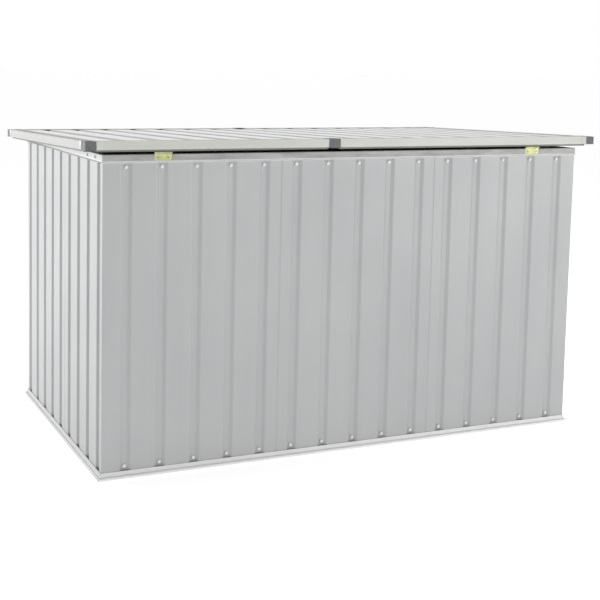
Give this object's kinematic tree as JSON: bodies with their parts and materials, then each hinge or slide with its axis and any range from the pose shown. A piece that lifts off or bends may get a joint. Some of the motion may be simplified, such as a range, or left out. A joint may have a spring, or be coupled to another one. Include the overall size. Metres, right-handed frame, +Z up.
{
  "type": "deck storage box",
  "caption": "Low garden storage box with grooved steel walls in a rail frame and a slightly sloping lid on butt hinges, held open by gas struts.",
  "frame": {"origin": "centre of the closed box's bounding box in plan, at ground level", "axes": "+X along the length, +Y towards the side where the lid opens (the hinges are at -Y), +Z up"},
  "size_m": [1.672, 0.9873, 0.935],
  "materials": {
    "wall_paint": "satin grey powder coat on grooved steel sheet",
    "rail_zinc": "light grey coated steel section",
    "cream_paint": "satin cream-grey coated steel section",
    "grey_plastic": "moulded dark grey plastic",
    "yellow_zinc": "yellow zinc plated steel",
    "black_rubber": "plain black rubber",
    "black_tube": "black painted tube",
    "bright_steel": "ground and chromed rod"
  },
  "bodies": {
    "box": {"base_rail_far": "rail_zinc", "base_rail_left": "rail_zinc", "base_rail_near": "rail_zinc", "base_rail_right": "rail_zinc", "corner_post_far_left": "rail_zinc", "corner_post_far_right": "rail_zinc", "corner_post_near_left": "rail_zinc", "corner_post_near_right": "rail_zinc", "floor_bearer_left": "rail_zinc", "floor_bearer_right": "rail_zinc", "floor_panel": "wall_paint", "hinge_lower_leaf_left": "yellow_zinc", "hinge_lower_leaf_right": "yellow_zinc", "hinge_pin_left": "yellow_zinc", "hinge_pin_right": "yellow_zinc", "lid_stop_left": "black_rubber", "lid_stop_right": "black_rubber", "lock_ear_box": "rail_zinc", "strut_wall_bracket_left": "rail_zinc", "strut_wall_bracket_right": "rail_zinc", "top_rail_far": "rail_zinc", "top_rail_left": "rail_zinc", "top_rail_near": "rail_zinc", "top_rail_right": "rail_zinc", "wall_far_left": "wall_paint", "wall_far_middle": "wall_paint", "wall_far_right": "wall_paint", "wall_left_far": "wall_paint", "wall_left_near": "wall_paint", "wall_near_left": "wall_paint", "wall_near_middle": "wall_paint", "wall_near_right": "wall_paint", "wall_right_far": "wall_paint", "wall_right_near": "wall_paint"},
    "lid": {"hinge_upper_leaf_left": "yellow_zinc", "hinge_upper_leaf_right": "yellow_zinc", "lid_beam_left": "rail_zinc", "lid_beam_middle": "rail_zinc", "lid_beam_right": "rail_zinc", "lid_corner_far_left": "grey_plastic", "lid_corner_far_right": "grey_plastic", "lid_corner_near_left": "grey_plastic", "lid_corner_near_right": "grey_plastic", "lid_joint_far": "grey_plastic", "lid_joint_near": "grey_plastic", "lid_rail_far_left": "cream_paint", "lid_rail_far_right": "cream_paint", "lid_rail_left": "cream_paint", "lid_rail_near_left": "cream_paint", "lid_rail_near_right": "cream_paint", "lid_rail_right": "cream_paint", "lock_ear_lid": "rail_zinc", "roof_panel_left": "wall_paint", "roof_panel_right": "wall_paint", "strut_lid_bracket_left": "rail_zinc", "strut_lid_bracket_right": "rail_zinc"},
    "strut_cylinder_left": {"strut_cylinder_left": "black_tube"},
    "strut_cylinder_right": {"strut_cylinder_right": "black_tube"},
    "strut_rod_left": {"strut_rod_left": "bright_steel"},
    "strut_rod_right": {"strut_rod_right": "bright_steel"}
  },
  "joints": [
    {"name": "lid_hinge", "type": "hinge", "parent": "box", "child": "lid", "pos_m": [0, -0.47218, 0.9008], "axis": [1, 0, 0], "range_deg": [0, 75]},
    {"name": "strut_swivel_left", "type": "hinge", "parent": "box", "child": "strut_cylinder_left", "pos_m": [-0.751, -0.40418, 0.6628], "axis": [1, 0, 0], "range_deg": [0, 25.33]},
    {"name": "strut_swivel_right", "type": "hinge", "parent": "box", "child": "strut_cylinder_right", "pos_m": [0.751, -0.40418, 0.6628], "axis": [1, 0, 0], "range_deg": [0, 25.33]},
    {"name": "strut_stroke_left", "type": "slide", "parent": "strut_cylinder_left", "child": "strut_rod_left", "axis": [0, 0.4154, 0.9097], "range_m": [0, 0.15503]},
    {"name": "strut_stroke_right", "type": "slide", "parent": "strut_cylinder_right", "child": "strut_rod_right", "axis": [0, 0.4154, 0.9097], "range_m": [0, 0.15503]}
  ],
  "couplings": [
    {"joint": "strut_swivel_left", "follows": "lid_hinge", "ratio": 0.33766},
    {"joint": "strut_swivel_right", "follows": "lid_hinge", "ratio": 0.33766},
    {"joint": "strut_stroke_left", "follows": "lid_hinge", "m_per_rad": 0.11842},
    {"joint": "strut_stroke_right", "follows": "lid_hinge", "m_per_rad": 0.11842}
  ]
}
